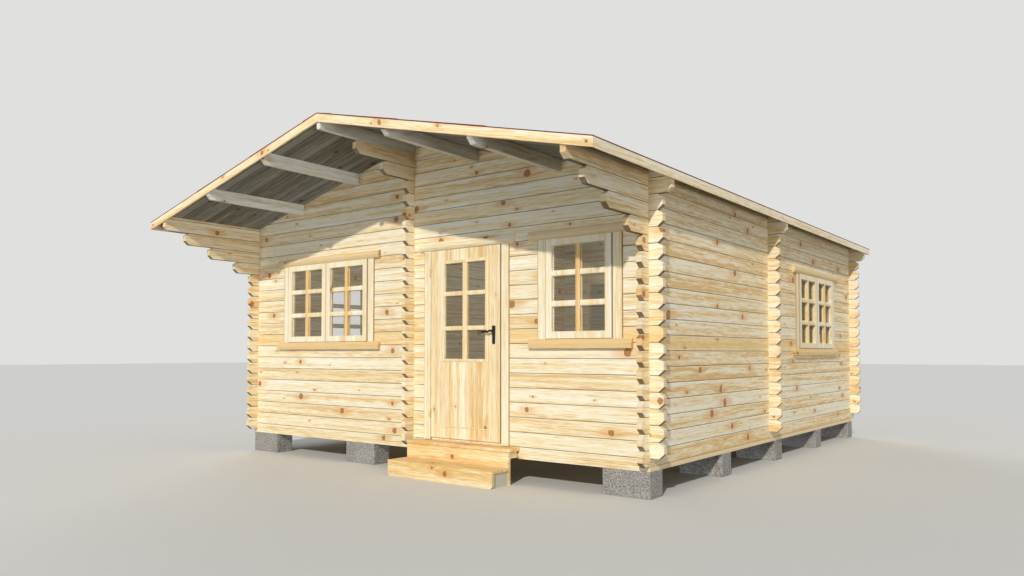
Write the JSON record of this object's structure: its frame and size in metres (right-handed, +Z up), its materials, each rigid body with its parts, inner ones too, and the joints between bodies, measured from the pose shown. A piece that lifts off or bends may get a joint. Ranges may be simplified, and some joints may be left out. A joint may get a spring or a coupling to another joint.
{
  "type": "log summer house",
  "caption": "Notched-log summer house with a deep gabled porch roof on stepped corbels, casement windows, a hinged glazed door, a timber step and concrete footing blocks.",
  "frame": {"origin": "on the ground under the middle of the roof", "axes": "+X to the right of the front, +Y from the front to the back, +Z up"},
  "size_m": [5.882, 7.466, 3.3798],
  "materials": {
    "log_pine": "planed pine with knots",
    "joinery_pine": "planed pine",
    "orange_pine": "planed warm pine",
    "roof_board": "sawn boards",
    "felt": "dark red mineral felt",
    "glass": "clear",
    "black_metal": "black satin",
    "steel": "zinc plated",
    "concrete": "rough concrete"
  },
  "bodies": {
    "house": {"front_half_log": "log_pine", "front_wall_left": "log_pine", "front_wall_right": "log_pine", "front_gable": "log_pine", "back_wall": "log_pine", "left_wall": "log_pine", "right_wall": "log_pine", "cross_wall": "log_pine", "room_partition": "log_pine", "base_beams": "log_pine", "floor_boards": "log_pine", "ridge_purlin": "log_pine", "upper_purlins": "log_pine", "lower_purlins": "log_pine", "left_roof_boards": "roof_board", "right_roof_boards": "roof_board", "roof_felt": "felt", "front_left_barge": "orange_pine", "front_right_barge": "orange_pine", "back_left_barge": "orange_pine", "back_right_barge": "orange_pine", "eave_boards": "orange_pine", "front_left_window_frame": "joinery_pine", "front_left_window_sashes": "joinery_pine", "front_left_window_glass": "glass", "front_right_window_frame": "joinery_pine", "front_right_window_sash": "joinery_pine", "front_right_window_glass": "glass", "right_window_frame": "joinery_pine", "right_window_sashes": "joinery_pine", "right_window_glass": "glass", "left_window_frame": "joinery_pine", "left_window_sash": "joinery_pine", "left_window_glass": "glass", "inner_door_linings": "joinery_pine", "door_frame": "joinery_pine", "door_hinge_pins": "steel", "step_treads": "orange_pine", "step_box": "orange_pine", "concrete_blocks": "concrete"},
    "door": {"door_leaf": "joinery_pine", "door_glass": "glass", "door_handle": "black_metal", "door_hinge_sleeves": "steel"}
  },
  "joints": [
    {"name": "door_hinge", "type": "hinge", "parent": "house", "child": "door", "pos_m": [0.2795, -2.529, 1.2565], "axis": [0, 0, -1], "range_deg": [0, 100]}
  ]
}
